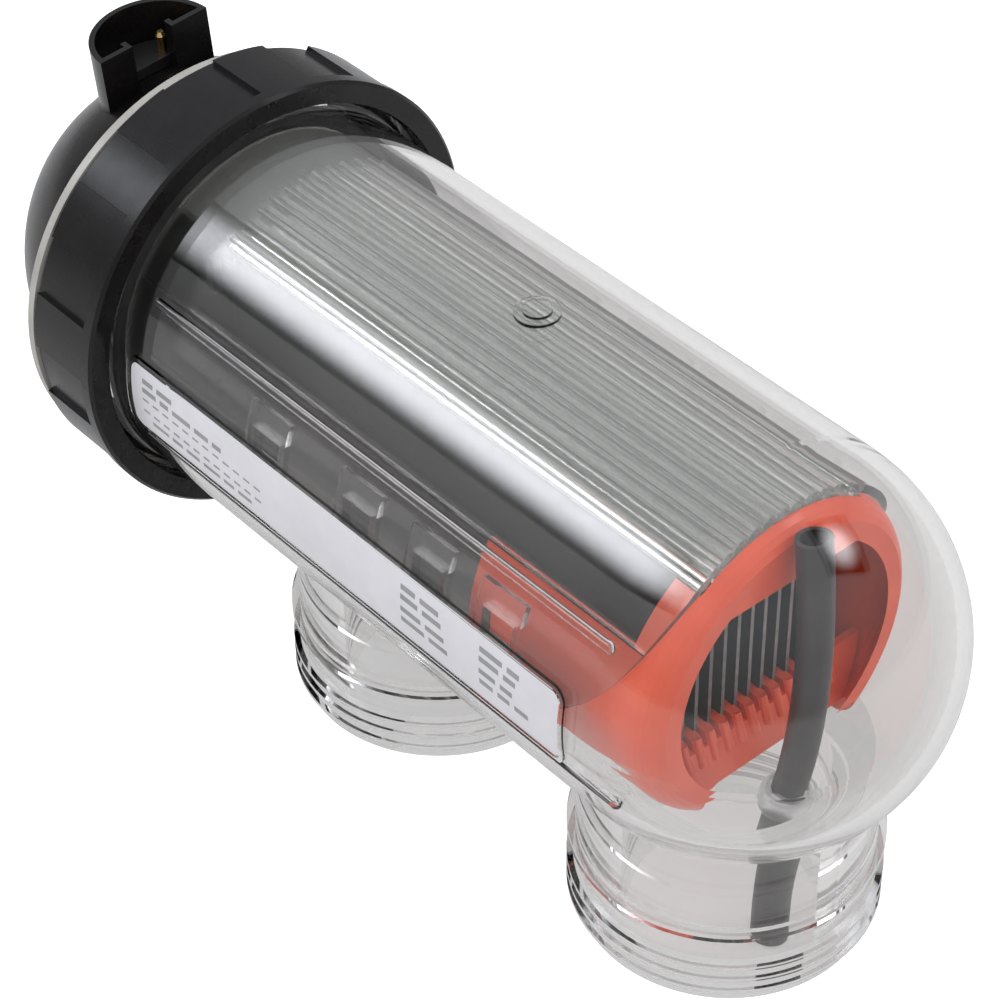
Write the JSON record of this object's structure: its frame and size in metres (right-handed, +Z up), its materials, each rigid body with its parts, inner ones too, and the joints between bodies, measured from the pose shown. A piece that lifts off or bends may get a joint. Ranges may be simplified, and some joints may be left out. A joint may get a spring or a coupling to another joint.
{
  "type": "salt chlorine generator",
  "caption": "Clear salt chlorine generator cell: dome-ended tube on threaded union ports, holding an electrode cartridge under a ring nut and capped head.",
  "frame": {"origin": "centre of the bounding box at its bottom, in the plane of the two port rims", "axes": "+X along the tube towards the domed end, +Z up from the ports to the tube, -Y towards the label side"},
  "size_m": [0.2928, 0.1184, 0.1448],
  "materials": {
    "clear_shell": "clear gloss, injection moulded",
    "label": "satin white film",
    "black_rubber": "satin",
    "sealant": "clear gloss",
    "black_plastic": "semi-gloss black",
    "pale_plastic": "satin pale grey",
    "grey_plastic": "satin grey",
    "socket_plastic": "matt black",
    "brass_contact": "bright",
    "red_insulation": "satin",
    "black_insulation": "satin",
    "potting_resin": "cast resin",
    "titanium": "brushed titanium",
    "coated_plate": "dark metal-oxide coating, satin",
    "clear_cassette": "clear gloss",
    "smoke_cassette": "clear, faint smoke tint",
    "orange_plastic": "semi-gloss orange-red"
  },
  "bodies": {
    "housing": {"cell_housing": "clear_shell", "rating_label": "label", "gas_bleed_tube": "black_rubber", "tube_sealant": "sealant"},
    "cartridge": {"thrust_ring": "pale_plastic", "electrode_head": "grey_plastic", "head_o_ring": "black_rubber", "head_cap": "black_plastic", "plug_socket": "socket_plastic", "plug_pins": "brass_contact", "anode_lead": "red_insulation", "cathode_lead": "black_insulation", "potting": "potting_resin", "anode_stud": "titanium", "cathode_stud": "titanium", "terminal_nuts": "titanium", "terminal_washers": "titanium", "anode_busbar": "titanium", "cathode_busbar": "titanium", "plate_01": "coated_plate", "plate_02": "coated_plate", "plate_03": "coated_plate", "plate_04": "coated_plate", "plate_05": "coated_plate", "plate_06": "coated_plate", "plate_07": "coated_plate", "plate_08": "coated_plate", "plate_09": "coated_plate", "plate_10": "coated_plate", "plate_11": "coated_plate", "cassette_upper": "clear_cassette", "cassette_lower": "smoke_cassette", "plate_holder": "orange_plastic"},
    "nut": {"union_nut": "black_plastic"}
  },
  "joints": [
    {"name": "cartridge_slide", "type": "slide", "parent": "housing", "child": "cartridge", "axis": [-1, 0, 0], "range_m": [0, 0.2]},
    {"name": "nut_turn", "type": "hinge", "parent": "cartridge", "child": "nut", "pos_m": [-0.0831, 0, 0.0834], "axis": [1, 0, 0], "continuous": true}
  ]
}
